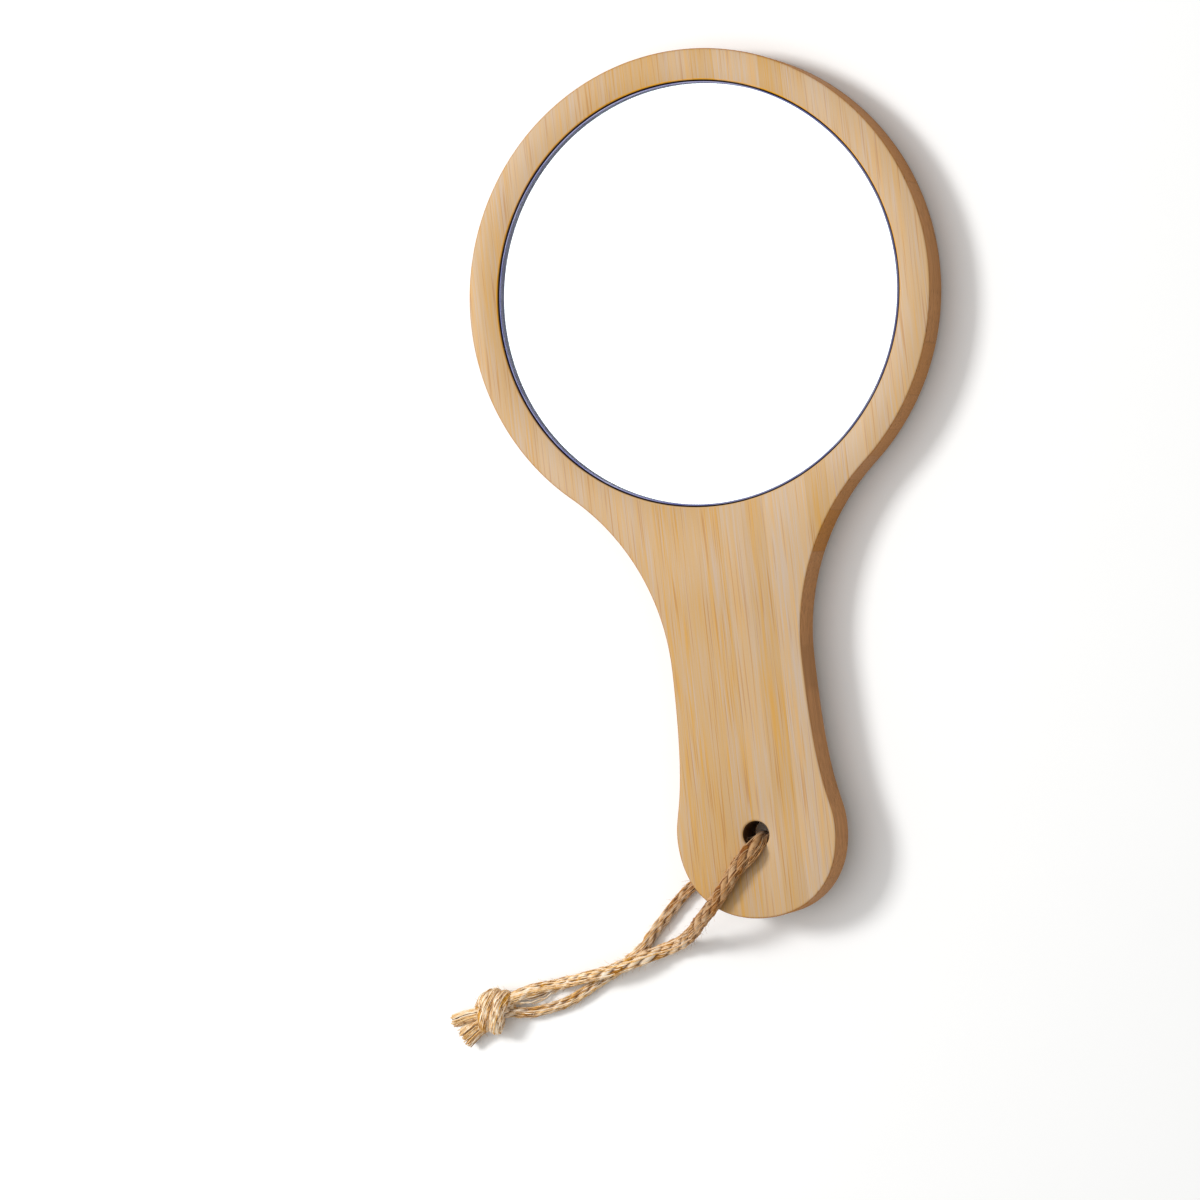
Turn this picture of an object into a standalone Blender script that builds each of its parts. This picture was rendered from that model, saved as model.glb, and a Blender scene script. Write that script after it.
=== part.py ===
"""Hand mirror: a bamboo paddle glued up from strips, a round glass in its recess, a twine loop.

The mirror lies on its back on a table, glass up (+Z), head towards +Y. The twine loop goes
through the hole in the handle, so its lower strand lies under the handle, which rests on it.
"""

import math

import bmesh
import bpy
from mathutils import Vector

# Paddle outline, in metres from the centre of the head.
HEAD_RADIUS = 0.0585
NECK_DROP = 0.0892
NECK_HALF_WIDTH = 0.0166
HANDLE_DROP = 0.1500
HANDLE_HALF_WIDTH = 0.0201
WIDEST_ABOVE_END = 0.0205
NECK_FLARE = 0.82
WIDEST_FLARE = 0.18
END_SHOULDER = 0.62
END_FLATNESS = 0.60
ARC_STEP = math.radians(2.5)
CURVE_STEPS = 14

# Board.
BOARD_THICKNESS = 0.0098
EDGE_ROUND = 0.0006
CORE_STRIPS = 6
SIDE_STRIPS = 8

# Hanging hole.
HOLE_RADIUS = 0.0032
HOLE_ABOVE_END = 0.0200
HOLE_RIM_ROUND = 0.0007

# Glass and what holds it in the recess.
RIM_WIDTH = 0.0075
GLASS_SIDE_CLEARANCE = 0.00035
GLASS_THICKNESS = 0.0020
GLASS_SETBACK = 0.0003
GLASS_ARRIS = 0.0003
BACKING_THICKNESS = 0.0002
BACKING_MARGIN = 0.0002
TAPE_THICKNESS = 0.0006
TAPE_WIDTH = 0.0120
TAPE_LENGTH = 0.0560
TAPE_PITCH = 0.0260
ROUND_SIDES = 120

# Twine loop.
TWINE_DIAMETER = 0.0032
TWINE_STEP = 0.0034
LIFT_OVER_TWINE = 0.0007
KNOT_SIZE = (0.0086, 0.0114, 0.0076)
KNOT_CENTRE = (-0.0771, -0.1219)
KNOT_TURN = math.radians(-14)
TAIL_LENGTH = 0.0070
TAIL_END_RADIUS = 0.0022

# Meshes of touching pieces keep this much apart.
GAP = 0.0003

# Where the upper and the lower strand of the loop run, from inside the hole to the knot.
FRONT_ROUTE = [
    (0.0009, -0.0834, 0.0092),
    (0.0009, -0.0835, 0.0114),
    (-0.0005, -0.0853, 0.0147),
    (-0.0028, -0.0884, 0.0163),
    (-0.0056, -0.0922, 0.0164),
    (-0.0088, -0.0962, 0.0162),
    (-0.0124, -0.1001, 0.0161),
    (-0.0164, -0.1034, 0.0140),
    (-0.0207, -0.1065, 0.0092),
    (-0.0252, -0.1088, 0.0048),
    (-0.0303, -0.1105, 0.0030),
    (-0.0349, -0.1117, 0.0042),
    (-0.0398, -0.1131, 0.0052),
    (-0.0428, -0.1139, 0.0053),
    (-0.0464, -0.1147, 0.0052),
    (-0.0512, -0.1154, 0.0044),
    (-0.0556, -0.1162, 0.0026),
    (-0.0594, -0.1168, 0.0018),
    (-0.0636, -0.1172, 0.0018),
    (-0.0677, -0.1179, 0.0026),
    (-0.0726, -0.1195, 0.0037),
]
BACK_ROUTE = [
    (0.0009, -0.0834, 0.0085),
    (0.0009, -0.0835, 0.0063),
    (-0.0004, -0.0845, 0.0035),
    (-0.0027, -0.0860, 0.0020),
    (-0.0060, -0.0878, 0.0017),
    (-0.0110, -0.0900, 0.0017),
    (-0.0170, -0.0929, 0.0017),
    (-0.0227, -0.0964, 0.0017),
    (-0.0257, -0.0989, 0.0017),
    (-0.0292, -0.1021, 0.0017),
    (-0.0330, -0.1059, 0.0017),
    (-0.0358, -0.1089, 0.0017),
    (-0.0394, -0.1117, 0.0017),
    (-0.0441, -0.1146, 0.0017),
    (-0.0481, -0.1166, 0.0017),
    (-0.0517, -0.1184, 0.0017),
    (-0.0560, -0.1206, 0.0017),
    (-0.0602, -0.1220, 0.0017),
    (-0.0643, -0.1228, 0.0017),
    (-0.0683, -0.1232, 0.0020),
    (-0.0727, -0.1227, 0.0028),
]
TAIL_ROOTS = {
    "twine_tail_left": ((-0.0818, -0.1227, 0.0027), (-0.0890, -0.1239, 0.0024)),
    "twine_tail_right": ((-0.0806, -0.1262, 0.0028), (-0.0846, -0.1300, 0.0024)),
}

# Colours as linear RGB.
BAMBOO_SHADES = [(0.66, 0.45, 0.23), (0.61, 0.40, 0.19), (0.69, 0.48, 0.26)]
GLASS_COLOUR = (0.80, 0.88, 0.88)
SILVER_COLOUR = (0.75, 0.76, 0.77)
TAPE_COLOUR = (0.80, 0.80, 0.76)
TWINE_COLOUR = (0.50, 0.33, 0.16)


def fillet_radius():
    """Radius of the hollow arc that touches the head's circle and the neck."""
    reach = NECK_HALF_WIDTH**2 + NECK_DROP**2 - HEAD_RADIUS**2
    return reach / (2 * (HEAD_RADIUS - NECK_HALF_WIDTH))


def arc(centre, radius, start, end):
    steps = max(2, round(abs(end - start) / ARC_STEP))
    turns = [start + (end - start) * k / steps for k in range(steps + 1)]
    return [(centre[0] + radius * math.cos(a), centre[1] + radius * math.sin(a)) for a in turns]


def bezier(a, b, c, d):
    points = []
    for k in range(CURVE_STEPS + 1):
        t = k / CURVE_STEPS
        weights = ((1 - t) ** 3, 3 * (1 - t) ** 2 * t, 3 * (1 - t) * t * t, t**3)
        points.append(tuple(sum(w * p[i] for w, p in zip(weights, (a, b, c, d))) for i in (0, 1)))
    return points


def half_outline():
    """The right half of the paddle, from the top of the head to the middle of the handle's end."""
    fillet = fillet_radius()
    fillet_x = NECK_HALF_WIDTH + fillet
    touch = math.atan2(-NECK_DROP, fillet_x)
    widest = HANDLE_DROP - WIDEST_ABOVE_END
    flare = widest - NECK_DROP
    neck = (NECK_HALF_WIDTH, -NECK_DROP)
    side = (HANDLE_HALF_WIDTH, -widest)
    end = (0.0, -HANDLE_DROP)
    points = arc((0, 0), HEAD_RADIUS, math.pi / 2, touch)
    points += arc((fillet_x, -NECK_DROP), fillet, touch + math.pi, math.pi)[1:]
    points += bezier(
        neck,
        (neck[0], neck[1] - NECK_FLARE * flare),
        (side[0], side[1] + WIDEST_FLARE * flare),
        side,
    )[1:]
    points += bezier(
        side,
        (side[0], side[1] - END_SHOULDER * WIDEST_ABOVE_END),
        (END_FLATNESS * HANDLE_HALF_WIDTH, end[1]),
        end,
    )[1:]
    return points


def outline():
    right = half_outline()
    left = [(-x, y) for x, y in reversed(right[1:-1])]
    return right + left


def material(name, colour, roughness, metallic=0.0):
    made = bpy.data.materials.new(name)
    made.use_nodes = True
    shader = made.node_tree.nodes["Principled BSDF"]
    shader.inputs["Base Color"].default_value = (*colour, 1.0)
    shader.inputs["Roughness"].default_value = roughness
    shader.inputs["Metallic"].default_value = metallic
    made.diffuse_color = (*colour, 1.0)
    return made


def clear_scene():
    for obj in list(bpy.data.objects):
        bpy.data.objects.remove(obj, do_unlink=True)
    for kept in list(bpy.data.collections):
        bpy.data.collections.remove(kept)


def collection(name):
    made = bpy.data.collections.new(name)
    bpy.context.scene.collection.children.link(made)
    return made


def link(obj, group, parent=None):
    group.objects.link(obj)
    obj.parent = parent
    return obj


def as_cutter(obj):
    obj.hide_render = True
    obj.display_type = "WIRE"
    return obj


def mesh_object(name, mesh_builder):
    mesh = bpy.data.meshes.new(name)
    made = bmesh.new()
    mesh_builder(made)
    bmesh.ops.recalc_face_normals(made, faces=made.faces)
    made.to_mesh(mesh)
    made.free()
    return bpy.data.objects.new(name, mesh)


def box(name, low, high):
    size = [h - l for l, h in zip(low, high)]
    centre = [(l + h) / 2 for l, h in zip(low, high)]

    def build(made):
        bmesh.ops.create_cube(made, size=1.0)
        bmesh.ops.scale(made, vec=size, verts=made.verts)
        bmesh.ops.translate(made, vec=centre, verts=made.verts)

    return mesh_object(name, build)


def disc(name, radius, low, high, top_radius=None):
    """A round plate between two heights, as a cone where its top radius differs."""

    def build(made):
        bmesh.ops.create_cone(
            made,
            cap_ends=True,
            segments=ROUND_SIDES,
            radius1=radius,
            radius2=radius if top_radius is None else top_radius,
            depth=high - low,
        )
        bmesh.ops.translate(made, vec=(0, 0, (low + high) / 2), verts=made.verts)

    return mesh_object(name, build)


def board_blank(group, parent):
    """The whole paddle before it is cut, with its edges eased."""
    flat = bpy.data.curves.new("board_outline", "CURVE")
    flat.dimensions = "2D"
    flat.fill_mode = "BOTH"
    flat.extrude = BOARD_THICKNESS / 2
    points = outline()
    spline = flat.splines.new("POLY")
    spline.points.add(len(points) - 1)
    for point, (x, y) in zip(spline.points, points):
        point.co = (x, y, 0, 1)
    spline.use_cyclic_u = True
    curve = link(bpy.data.objects.new("board_outline", flat), group)
    curve.location.z = -BOARD_THICKNESS / 2
    bpy.context.view_layer.update()
    evaluated = curve.evaluated_get(bpy.context.evaluated_depsgraph_get())
    mesh = bpy.data.meshes.new_from_object(evaluated)
    mesh.transform(curve.matrix_world)
    bpy.data.objects.remove(curve, do_unlink=True)
    made = bmesh.new()
    made.from_mesh(mesh)
    bmesh.ops.remove_doubles(made, verts=made.verts, dist=0.00001)
    bmesh.ops.recalc_face_normals(made, faces=made.faces)
    made.to_mesh(mesh)
    made.free()
    blank = link(bpy.data.objects.new("board_blank", mesh), group, parent)
    ease = blank.modifiers.new("eased_edges", "BEVEL")
    ease.width = EDGE_ROUND
    ease.segments = 2
    ease.limit_method = "ANGLE"
    ease.angle_limit = math.radians(50)
    return as_cutter(blank)


def hole_cutter(group, parent):
    """The hanging hole, opening out at both faces where its rims are eased."""
    overrun = 0.001
    steps = [
        (HOLE_RADIUS + HOLE_RIM_ROUND + overrun, overrun),
        (HOLE_RADIUS, -HOLE_RIM_ROUND),
        (HOLE_RADIUS, HOLE_RIM_ROUND - BOARD_THICKNESS),
        (HOLE_RADIUS + HOLE_RIM_ROUND + overrun, -BOARD_THICKNESS - overrun),
    ]

    def build(made):
        top, bottom = steps[0], steps[-1]
        corners = [made.verts.new((r, 0, z)) for r, z in steps]
        axis_top = made.verts.new((0, 0, top[1]))
        axis_bottom = made.verts.new((0, 0, bottom[1]))
        rim = [axis_top, *corners, axis_bottom]
        edges = [made.edges.new(pair) for pair in zip(rim, rim[1:])]
        bmesh.ops.spin(
            made,
            geom=rim + edges,
            cent=(0, 0, 0),
            axis=(0, 0, 1),
            angle=2 * math.pi,
            steps=ROUND_SIDES // 3,
            use_merge=True,
        )
        bmesh.ops.remove_doubles(made, verts=made.verts, dist=0.00001)
        drop = HANDLE_DROP - HOLE_ABOVE_END
        bmesh.ops.translate(made, vec=(0, -drop, 0), verts=made.verts)

    return as_cutter(link(mesh_object("hanging_hole_cutter", build), group, parent))


def boolean(obj, operation, other):
    cut = obj.modifiers.new(other.name, "BOOLEAN")
    cut.operation = operation
    cut.object = other
    cut.solver = "EXACT"


def strip_spans():
    """Name, left and right side, and lower and upper end of every strip of the board."""
    core = 2 * NECK_HALF_WIDTH / CORE_STRIPS
    side = (HEAD_RADIUS - NECK_HALF_WIDTH) / SIDE_STRIPS
    past = 0.01
    top = HEAD_RADIUS + past
    bottom = -HANDLE_DROP - past
    spans = []
    for k in range(CORE_STRIPS):
        left = -NECK_HALF_WIDTH + k * core
        spans.append((f"core_strip_{k + 1}", left, left + core, bottom, top))
    for k in range(SIDE_STRIPS):
        inner = NECK_HALF_WIDTH + k * side
        outer = inner + side + (past if k == SIDE_STRIPS - 1 else 0)
        spans.append((f"right_strip_{k + 1}", inner, outer, -NECK_DROP, top))
        spans.append((f"left_strip_{k + 1}", -outer, -inner, -NECK_DROP, top))
    grips = math.ceil((HANDLE_HALF_WIDTH - NECK_HALF_WIDTH) / side)
    for k in range(grips):
        inner = NECK_HALF_WIDTH + k * side
        spans.append((f"right_grip_strip_{k + 1}", inner, inner + side, bottom, -NECK_DROP))
        spans.append((f"left_grip_strip_{k + 1}", -inner - side, -inner, bottom, -NECK_DROP))
    return spans


def make_strips(group, parent, cutters):
    """The board's strips, stood on edge side by side and cut to the paddle's shape."""
    blank, recess, hole = cutters
    shades = [material(f"bamboo_{k + 1}", c, 0.5) for k, c in enumerate(BAMBOO_SHADES)]
    half = GAP / 2
    for number, (name, left, right, low, high) in enumerate(strip_spans()):
        strip = box(
            name,
            (left + half, low + half, -BOARD_THICKNESS - 0.002),
            (right - half, high - half, 0.002),
        )
        link(strip, group, parent)
        boolean(strip, "INTERSECT", blank)
        boolean(strip, "DIFFERENCE", recess)
        boolean(strip, "DIFFERENCE", hole)
        strip.data.materials.append(shades[number % len(shades)])


def glass_top():
    return -GLASS_SETBACK


def glass_bottom():
    return glass_top() - GLASS_THICKNESS


def backing_bottom():
    return glass_bottom() - GAP - BACKING_THICKNESS


def tape_bottom():
    return backing_bottom() - GAP - TAPE_THICKNESS


def recess_floor():
    return tape_bottom() - GAP


def make_glass(group, parent):
    radius = HEAD_RADIUS - RIM_WIDTH - GLASS_SIDE_CLEARANCE
    glass = link(disc("mirror_glass", radius, glass_bottom(), glass_top()), group, parent)
    ease = glass.modifiers.new("arris", "BEVEL")
    ease.width = GLASS_ARRIS
    ease.segments = 1
    ease.limit_method = "ANGLE"
    ease.angle_limit = math.radians(50)
    glass.data.materials.append(material("float_glass", GLASS_COLOUR, 0.02))
    backing = disc(
        "silver_backing",
        radius - BACKING_MARGIN,
        backing_bottom(),
        backing_bottom() + BACKING_THICKNESS,
    )
    link(backing, group, parent)
    backing.data.materials.append(material("silvering", SILVER_COLOUR, 0.03, 1.0))


def make_tapes(group, parent):
    foam = material("foam_tape", TAPE_COLOUR, 0.8)
    for name, k in (("tape_left", -1), ("tape_middle", 0), ("tape_right", 1)):
        centre = k * TAPE_PITCH
        tape = box(
            name,
            (centre - TAPE_WIDTH / 2, -TAPE_LENGTH / 2, tape_bottom()),
            (centre + TAPE_WIDTH / 2, TAPE_LENGTH / 2, tape_bottom() + TAPE_THICKNESS),
        )
        link(tape, group, parent)
        tape.data.materials.append(foam)


def smooth_path(route, step):
    """Points a step apart on a smooth curve through the route."""
    knots = [Vector(p) for p in route]
    knots = [2 * knots[0] - knots[1], *knots, 2 * knots[-1] - knots[-2]]
    fine = []
    for a, b, c, d in zip(knots, knots[1:], knots[2:], knots[3:]):
        for k in range(20):
            t = k / 20
            fine.append(
                0.5
                * (
                    2 * b
                    + (c - a) * t
                    + (2 * a - 5 * b + 4 * c - d) * t * t
                    + (3 * b - a - 3 * c + d) * t**3
                )
            )
    fine.append(knots[-2])
    lengths = [0.0]
    for a, b in zip(fine, fine[1:]):
        lengths.append(lengths[-1] + (b - a).length)
    count = round(lengths[-1] / step)
    path, at = [], 0
    for k in range(count + 1):
        wanted = lengths[-1] * k / count
        while at < len(fine) - 2 and lengths[at + 1] < wanted:
            at += 1
        share = (wanted - lengths[at]) / (lengths[at + 1] - lengths[at])
        path.append(fine[at].lerp(fine[at + 1], share))
    return path


def make_strand(name, route, group, jute):
    tube = bpy.data.curves.new(name, "CURVE")
    tube.dimensions = "3D"
    tube.bevel_depth = TWINE_DIAMETER / 2
    tube.bevel_resolution = 2
    tube.use_fill_caps = True
    path = smooth_path(route, TWINE_STEP)
    spline = tube.splines.new("POLY")
    spline.points.add(len(path) - 1)
    for point, place in zip(spline.points, path):
        point.co = (*place, 1)
    strand = link(bpy.data.objects.new(name, tube), group)
    strand.data.materials.append(jute)


def make_knot(group, jute):
    def build(made):
        bmesh.ops.create_uvsphere(made, u_segments=24, v_segments=14, radius=0.5)
        bmesh.ops.scale(made, vec=KNOT_SIZE, verts=made.verts)

    knot = link(mesh_object("twine_knot", build), group)
    knot.location = (*KNOT_CENTRE, KNOT_SIZE[2] / 2 + GAP / 3)
    knot.rotation_euler = (0, 0, KNOT_TURN)
    knot.data.materials.append(jute)
    knot.data.shade_smooth()


def make_tails(group, jute):
    for name, (root, tip) in TAIL_ROOTS.items():
        direction = (Vector(tip) - Vector(root)).normalized()

        def build(made):
            bmesh.ops.create_cone(
                made,
                cap_ends=True,
                segments=12,
                radius1=TWINE_DIAMETER / 2,
                radius2=TAIL_END_RADIUS,
                depth=TAIL_LENGTH,
            )
            bmesh.ops.translate(made, vec=(0, 0, TAIL_LENGTH / 2), verts=made.verts)

        tail = link(mesh_object(name, build), group)
        tail.location = root
        tail.rotation_euler = direction.to_track_quat("Z", "Y").to_euler()
        tail.data.materials.append(jute)


def place_paddle(paddle):
    """Tips the paddle so that its handle clears the strand under it, and centres it at the base."""
    hole_drop = HANDLE_DROP - HOLE_ABOVE_END
    lift = TWINE_DIAMETER + LIFT_OVER_TWINE
    tilt = math.atan(lift / (HEAD_RADIUS + hole_drop))
    low_y = -HANDLE_DROP * math.cos(tilt) - BOARD_THICKNESS * math.sin(tilt)
    high_y = HEAD_RADIUS * math.cos(tilt)
    low_z = -HEAD_RADIUS * math.sin(tilt) - BOARD_THICKNESS * math.cos(tilt)
    paddle.rotation_euler = (-tilt, 0, 0)
    paddle.location = (0, -(low_y + high_y) / 2, -low_z)


def main():
    clear_scene()
    parts = collection("hand_mirror")
    cutters = collection("cutters")
    paddle = link(bpy.data.objects.new("paddle_frame", None), parts)
    place_paddle(paddle)
    blank = board_blank(cutters, paddle)
    recess = disc("recess_cutter", HEAD_RADIUS - RIM_WIDTH, recess_floor(), 0.001)
    as_cutter(link(recess, cutters, paddle))
    hole = hole_cutter(cutters, paddle)
    make_strips(parts, paddle, (blank, recess, hole))
    make_glass(parts, paddle)
    make_tapes(parts, paddle)
    jute = material("jute", TWINE_COLOUR, 0.9)
    make_strand("twine_front_strand", FRONT_ROUTE, parts, jute)
    make_strand("twine_back_strand", BACK_ROUTE, parts, jute)
    make_knot(parts, jute)
    make_tails(parts, jute)


main()
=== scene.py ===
"""Looks of a hand mirror: a glued bamboo paddle, a silvered glass, a jute hanging loop.

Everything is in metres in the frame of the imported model: the mirror lies on its back, glass up,
head towards +Y, with the lower strand of its loop under the handle.
"""

import math
from functools import partial

import bmesh
import bpy
import numpy as np
from bpy.props import FloatProperty, FloatVectorProperty, IntProperty, PointerProperty
from mathutils import Euler, Matrix, Vector


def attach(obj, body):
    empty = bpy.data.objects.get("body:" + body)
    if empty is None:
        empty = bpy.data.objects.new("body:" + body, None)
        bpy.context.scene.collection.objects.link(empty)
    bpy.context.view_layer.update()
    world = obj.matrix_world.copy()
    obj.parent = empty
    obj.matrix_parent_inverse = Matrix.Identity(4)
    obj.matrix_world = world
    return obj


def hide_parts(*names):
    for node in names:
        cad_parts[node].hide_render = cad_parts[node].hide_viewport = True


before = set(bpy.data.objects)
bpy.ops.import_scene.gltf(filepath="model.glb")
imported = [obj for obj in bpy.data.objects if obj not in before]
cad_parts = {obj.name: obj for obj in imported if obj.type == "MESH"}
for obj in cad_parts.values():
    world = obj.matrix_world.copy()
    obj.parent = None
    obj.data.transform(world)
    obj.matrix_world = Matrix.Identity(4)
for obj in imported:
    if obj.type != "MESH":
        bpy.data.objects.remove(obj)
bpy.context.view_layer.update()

bl_info = {
    "name": "Bamboo Hand Mirror",
    "version": (1, 0, 0),
    "blender": (4, 5, 0),
    "location": "View3D > Sidebar > Hand Mirror",
    "description": "Builds a bamboo hand mirror with a jute hanging loop",
    "category": "Add Mesh",
}

MM = 0.001

# Paddle outline, from the centre of the head.
NECK_DROP = 0.0892
NECK_FLARE = 0.82
WIDEST_ABOVE_END = 0.0205
WIDEST_FLARE = 0.18
END_SHOULDER = 0.62
END_FLATNESS = 0.60
ARC_STEP = math.radians(1.0)
CURVE_STEPS = 60
EASE_STEPS = 5
SPLINE_STEPS = 20
ROUND_SIDES = 288
HOLE_SIDES = 96

# Depth of the glass and of what lies under it, below the paddle's face.
GLASS_SETBACK = 0.0003
SILVER_GAP = 0.00002
SILVER_DEPTH = 0.0002
RECESS_DEPTH = 0.0040
SILVER_ARRIS = 0.00002
LIP_WIDTH = 0.00028

# How the paddle lies: tipped by the strand under its handle.
LIFT_OVER_TWINE = 0.0007
STRAND_TO_HEAD_CENTRE = 0.1300
STRIP_WIDTH = 5.533

# Where the upper and the lower strand of the loop run, from inside the hole to the knot.
FRONT_ROUTE = [
    (0.0008, -0.0853, 0.0085),
    (0.0007, -0.0854, 0.0110),
    (-0.0002, -0.0863, 0.0136),
    (-0.0022, -0.0884, 0.0157),
    (-0.0056, -0.0922, 0.0164),
    (-0.0088, -0.0962, 0.0162),
    (-0.0124, -0.1001, 0.0161),
    (-0.0164, -0.1034, 0.0140),
    (-0.0207, -0.1065, 0.0092),
    (-0.0252, -0.1088, 0.0048),
    (-0.0303, -0.1105, 0.0030),
    (-0.0349, -0.1117, 0.0042),
    (-0.0398, -0.1131, 0.0052),
    (-0.0428, -0.1139, 0.0053),
    (-0.0464, -0.1147, 0.0052),
    (-0.0512, -0.1154, 0.0044),
    (-0.0556, -0.1162, 0.0026),
    (-0.0594, -0.1168, 0.0018),
    (-0.0636, -0.1172, 0.0018),
    (-0.0677, -0.1179, 0.0026),
    (-0.0726, -0.1195, 0.0037),
]
BACK_ROUTE = [
    (0.0008, -0.0853, 0.0085),
    (0.0007, -0.0853, 0.0063),
    (-0.0005, -0.0856, 0.0038),
    (-0.0027, -0.0865, 0.0021),
    (-0.0060, -0.0880, 0.0017),
    (-0.0110, -0.0900, 0.0017),
    (-0.0170, -0.0929, 0.0017),
    (-0.0227, -0.0964, 0.0017),
    (-0.0257, -0.0989, 0.0017),
    (-0.0292, -0.1021, 0.0017),
    (-0.0330, -0.1059, 0.0017),
    (-0.0358, -0.1089, 0.0017),
    (-0.0394, -0.1117, 0.0017),
    (-0.0441, -0.1146, 0.0017),
    (-0.0481, -0.1166, 0.0017),
    (-0.0517, -0.1184, 0.0017),
    (-0.0560, -0.1206, 0.0017),
    (-0.0602, -0.1220, 0.0017),
    (-0.0643, -0.1228, 0.0017),
    (-0.0683, -0.1232, 0.0020),
    (-0.0727, -0.1227, 0.0028),
]
# Both strands end inside the knot.
STRAND_ENDS = {
    "front_strand": (-0.0755, -0.1209, 0.0040),
    "back_strand": (-0.0758, -0.1225, 0.0034),
}
# How full the twine is along its run: fuller at the hole, drawn thinner towards the knot.
STRAND_FULLNESS = {
    "front_strand": (1.02, 1.02, 1.0, 0.98, 0.94, 0.84, 0.82, 0.90),
    "back_strand": (0.95, 0.86, 0.82, 0.80, 0.80, 0.78, 0.76, 0.78),
}
# Painted shade: the twine is drawn darker and browner over this length from the hole.
HOLE_SHADE_LENGTH = 0.052
FRONT_LENGTH = 0.0985
BACK_LENGTH = 0.0930
ROUTE_STEP = 0.0005

# Twine that climbs or drops is laid more loosely, so a rise counts for less of its lay.
CLIMB_SHARE = 0.3
# How strongly the painted shade by the hole comes on.
HOLE_SHADE_GAIN = 1.6

# Fibres that have come off their ply lie straight across the grooves.
LOOSE_SHARE = 0.38
LOOSE_PACE = 0.1
LOOSE_REACH = 0.80
FIRST_FIBRE_MARK = 10.0

# The knot's own axes: u runs along the loop, v across it, w up.
KNOT_CENTRE = (-0.0771, -0.1219, 0.0039)
KNOT_TURN = math.radians(-14)
# Its wraps, in millimetres and turns.
KNOT_HALF_LENGTH = 3.0
KNOT_HALF_WIDTH = 4.0
KNOT_HALF_HEIGHT = 2.2
KNOT_TURNS = 2
KNOT_START = 0.3
KNOT_STEPS = 72
KNOT_FULLNESS = 1.10

# Camera and light.
CAMERA_PLACE = (0.33090, -0.02282, 0.95528)
CAMERA_TURN = (-2.7084, 20.9299, -7.3329)
CAMERA_LENS = 125.58
SENSOR_WIDTH = 36.0


# The kinds of node that are used most.
MATH = "ShaderNodeMath"
VECTOR_MATH = "ShaderNodeVectorMath"
MAP_RANGE = "ShaderNodeMapRange"
RANDOM = "FunctionNodeRandomValue"
READ = "GeometryNodeInputNamedAttribute"
STORE = "GeometryNodeStoreNamedAttribute"


def linear(code):
    """Linear RGB of an sRGB hex colour."""
    shares = [int(code[k : k + 2], 16) / 255 for k in (1, 3, 5)]
    return tuple(s / 12.92 if s <= 0.04045 else ((s + 0.055) / 1.055) ** 2.4 for s in shares)


def length(name, description, default, low=0.0001, high=1.0):
    return FloatProperty(
        name=name, description=description, default=default, min=low, max=high, precision=4,
        unit="LENGTH", subtype="DISTANCE"
    )


def colour(name, description, code):
    return FloatVectorProperty(
        name=name, description=description, default=linear(code), min=0, max=1, size=3,
        subtype="COLOR"
    )


class BoardSettings(bpy.types.PropertyGroup):
    head_radius: length("Head radius", "Radius of the round head", 0.0585)
    neck_half_width: length("Neck half width", "Half the width of the neck", 0.0166)
    handle_half_width: length("Handle half width", "Half of the handle's widest part", 0.0201)
    handle_drop: length("Handle drop", "From the head's centre to the handle's end", 0.1500)
    thickness: length("Thickness", "Thickness of the board", 0.0098)
    edge_round: length("Edge round", "Radius of the eased edges", 0.0006)
    rim_width: length("Rim width", "Bamboo left between the glass and the edge", 0.0075)
    hole_radius: length("Hole radius", "Radius of the hanging hole", 0.0032)
    hole_above_end: length("Hole above end", "From the handle's end to the hole", 0.0200)
    hole_round: length("Hole rim round", "Radius of the hole's eased rim", 0.0007)
    pale: colour("Pale fibre", "Grey pink fibre between the bundles", "#BAA188")
    tan: colour("Tan fibre", "The face's general colour", "#BE9C70")
    gold: colour("Gold fibre", "Yellow streaks along the strips", "#C69856")
    amber: colour("Amber fibre", "Narrow dark streaks along the strips", "#AA7436")
    # Painted highlight: the bright yellow line along the recess's eased lip.
    lip: colour("Lip highlight", "Narrow eased lip round the glass", "#D89A35")
    # The routed edge colour is partly the cut wood's own browner tone and partly painted shade of
    # the side walls.
    edge: colour("Routed edge", "General colour of the routed side", "#B07A46")


class GlassSettings(bpy.types.PropertyGroup):
    radius: length("Radius", "Radius of the glass", 0.05065)
    thickness: length("Thickness", "Thickness of the glass", 0.0020)
    arris: length("Arris", "Width of the seamed edge", 0.0003)
    tint: colour("Glass tint", "Colour of clear float glass", "#F6FAF9")
    # Painted reflection: the violet that the ground edge shows through the glass.
    seam: colour("Seamed edge", "Colour of the ground edge", "#6C74B8")
    silver: colour("Silver", "Colour of the silver coat", "#F4F5F7")
    paint: colour("Backing paint", "Paint that protects the silver", "#5E6468")


class TwineSettings(bpy.types.PropertyGroup):
    diameter: length("Diameter", "Thickness of the twine", 0.0032)
    lay: length("Lay length", "One full turn of the plies", 0.0118)
    relief: length("Relief", "Height of the lumps on a ply", 0.00008, 0.0, 0.001)
    plies: IntProperty(name="Plies", description="Yarns in the twine", default=3, min=2, max=5)
    fibres: IntProperty(name="Fibres", description="Loose fibres on it", default=250, min=0)
    pale: colour("Pale fibre", "The palest, straw fibres", "#FFF2DF")
    tan: colour("Tan fibre", "General colour of the jute", "#F3D6AC")
    orange: colour("Orange fibre", "Darker orange fibres", "#DCAB68")
    brown: colour("Brown fibre", "The few darkest fibres", "#9C6A35")
    # Painted shade: the darker colour given to jute down in the grooves, where shade falls.
    deep: colour("Groove", "Jute down in the grooves", "#7C5029")
    # Painted shade: the tint that darkens and browns the twine by the hole.
    hole_shading: colour("Hole shade tint", "Painted shade tint for the jute near the hole", "#C6AB8C")


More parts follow.
